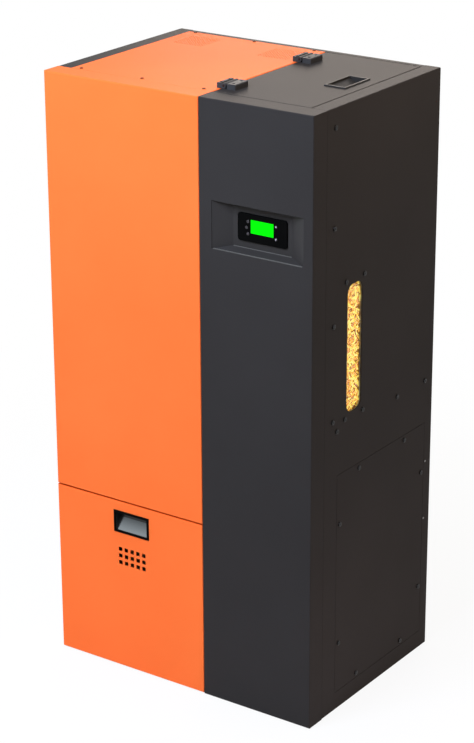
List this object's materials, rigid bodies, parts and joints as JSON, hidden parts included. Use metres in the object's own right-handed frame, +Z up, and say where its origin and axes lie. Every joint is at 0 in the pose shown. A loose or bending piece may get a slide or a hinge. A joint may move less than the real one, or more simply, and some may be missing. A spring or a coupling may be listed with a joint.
{
  "type": "pellet boiler",
  "caption": "Floor-standing wood pellet boiler: sheet casing with a fuel hopper under a hinged lid, auger feed, burner, water-jacketed vessel and a pull-out ash drawer.",
  "frame": {"origin": "middle of the casing's footprint (650 by 467 mm), on the floor under the base pan", "axes": "+Z up; -Y the front with the covers and controller; +X the right of someone facing the front, the hopper side"},
  "size_m": [0.6552, 0.5295, 1.3115],
  "materials": {
    "orange_paint": "satin powder coat",
    "dark_paint": "fine-textured matt powder coat",
    "zinc_sheet": "bare galvanised sheet",
    "steel": "bare steel",
    "screw_steel": "zinc plated",
    "boiler_paint": "heat-resistant matt paint",
    "black_plastic": "moulded, fine grain",
    "hinge_plastic": "moulded, smooth",
    "key_plastic": "smooth",
    "display": "lit green",
    "clear_pane": "clear polished",
    "pellets": "pressed wood pellets, loose",
    "seal_rubber": "soft foam strip",
    "rope_seal": "braided glass rope",
    "mineral_wool": "pressed wool slab",
    "bronze": "plain bearing bronze",
    "motor_paint": "satin"
  },
  "bodies": {
    "casing": {"upper_front_cover": "orange_paint", "top_cover": "orange_paint", "left_side_panel": "dark_paint", "right_side_panel": "dark_paint", "rear_panel": "dark_paint", "hopper_front_panel": "dark_paint", "service_hatch": "dark_paint", "controller_tray": "dark_paint", "base_pan": "zinc_sheet", "divider_panel": "zinc_sheet", "front_top_rail": "zinc_sheet", "pellet_hopper": "zinc_sheet", "drawer_rails": "zinc_sheet", "hinge_pins": "steel", "auger_tube": "steel", "drop_chute": "steel", "flame_tube": "steel", "turbulators": "steel", "igniter": "steel", "flue_spigot": "steel", "flow_socket": "steel", "return_socket": "steel", "fan_housing": "steel", "top_cover_screws": "screw_steel", "right_panel_screws": "screw_steel", "left_panel_screws": "screw_steel", "hatch_screws": "screw_steel", "window_screws": "screw_steel", "rear_panel_screws": "screw_steel", "boiler_vessel": "boiler_paint", "ash_pit": "boiler_paint", "smoke_box_cover": "boiler_paint", "burner_housing": "boiler_paint", "controller_housing": "black_plastic", "cable_gland": "black_plastic", "hinge_fixed_leaves": "hinge_plastic", "display_window": "display", "sight_window": "clear_pane", "pellet_charge": "pellets", "insulation_slabs": "mineral_wool", "auger_end_bush": "bronze", "auger_gearmotor": "motor_paint", "fan_motor": "motor_paint"},
    "lid": {"hopper_lid": "dark_paint", "lid_seal": "seal_rubber", "lid_pull": "black_plastic", "hinge_moving_leaves": "hinge_plastic"},
    "ash_drawer": {"lower_front_cover": "orange_paint", "cover_pull": "black_plastic", "ash_box": "zinc_sheet", "ash_box_seal": "rope_seal", "drawer_slides": "zinc_sheet"},
    "auger": {"auger_screw": "steel"},
    "fan": {"fan_impeller": "steel"},
    "key_upper_left": {"key_upper_left": "key_plastic"},
    "key_middle_left": {"key_middle_left": "key_plastic"},
    "key_lower_left": {"key_lower_left": "key_plastic"},
    "key_upper_right": {"key_upper_right": "key_plastic"},
    "key_lower_right": {"key_lower_right": "key_plastic"}
  },
  "joints": [
    {"name": "lid_hinge", "type": "hinge", "parent": "casing", "child": "lid", "pos_m": [0.064, 0, 1.306], "axis": [0, -1, 0], "range_deg": [0, 100]},
    {"name": "drawer_slide", "type": "slide", "parent": "casing", "child": "ash_drawer", "axis": [0, -1, 0], "range_m": [0, 0.31]},
    {"name": "auger_spin", "type": "hinge", "parent": "casing", "child": "auger", "pos_m": [0.05, -0.1, 0.5], "axis": [1, 0, 0], "continuous": true},
    {"name": "fan_spin", "type": "hinge", "parent": "casing", "child": "fan", "pos_m": [-0.127, -0.16, 0.266], "axis": [0, 1, 0], "continuous": true},
    {"name": "key_upper_left_press", "type": "slide", "parent": "casing", "child": "key_upper_left", "axis": [0, 1, 0], "range_m": [0, 0.0007], "stiffness_N_per_m": 600, "springref_m": -0.0005},
    {"name": "key_middle_left_press", "type": "slide", "parent": "casing", "child": "key_middle_left", "axis": [0, 1, 0], "range_m": [0, 0.0007], "stiffness_N_per_m": 600, "springref_m": -0.0005},
    {"name": "key_lower_left_press", "type": "slide", "parent": "casing", "child": "key_lower_left", "axis": [0, 1, 0], "range_m": [0, 0.0007], "stiffness_N_per_m": 600, "springref_m": -0.0005},
    {"name": "key_upper_right_press", "type": "slide", "parent": "casing", "child": "key_upper_right", "axis": [0, 1, 0], "range_m": [0, 0.0007], "stiffness_N_per_m": 600, "springref_m": -0.0005},
    {"name": "key_lower_right_press", "type": "slide", "parent": "casing", "child": "key_lower_right", "axis": [0, 1, 0], "range_m": [0, 0.0007], "stiffness_N_per_m": 600, "springref_m": -0.0005}
  ]
}
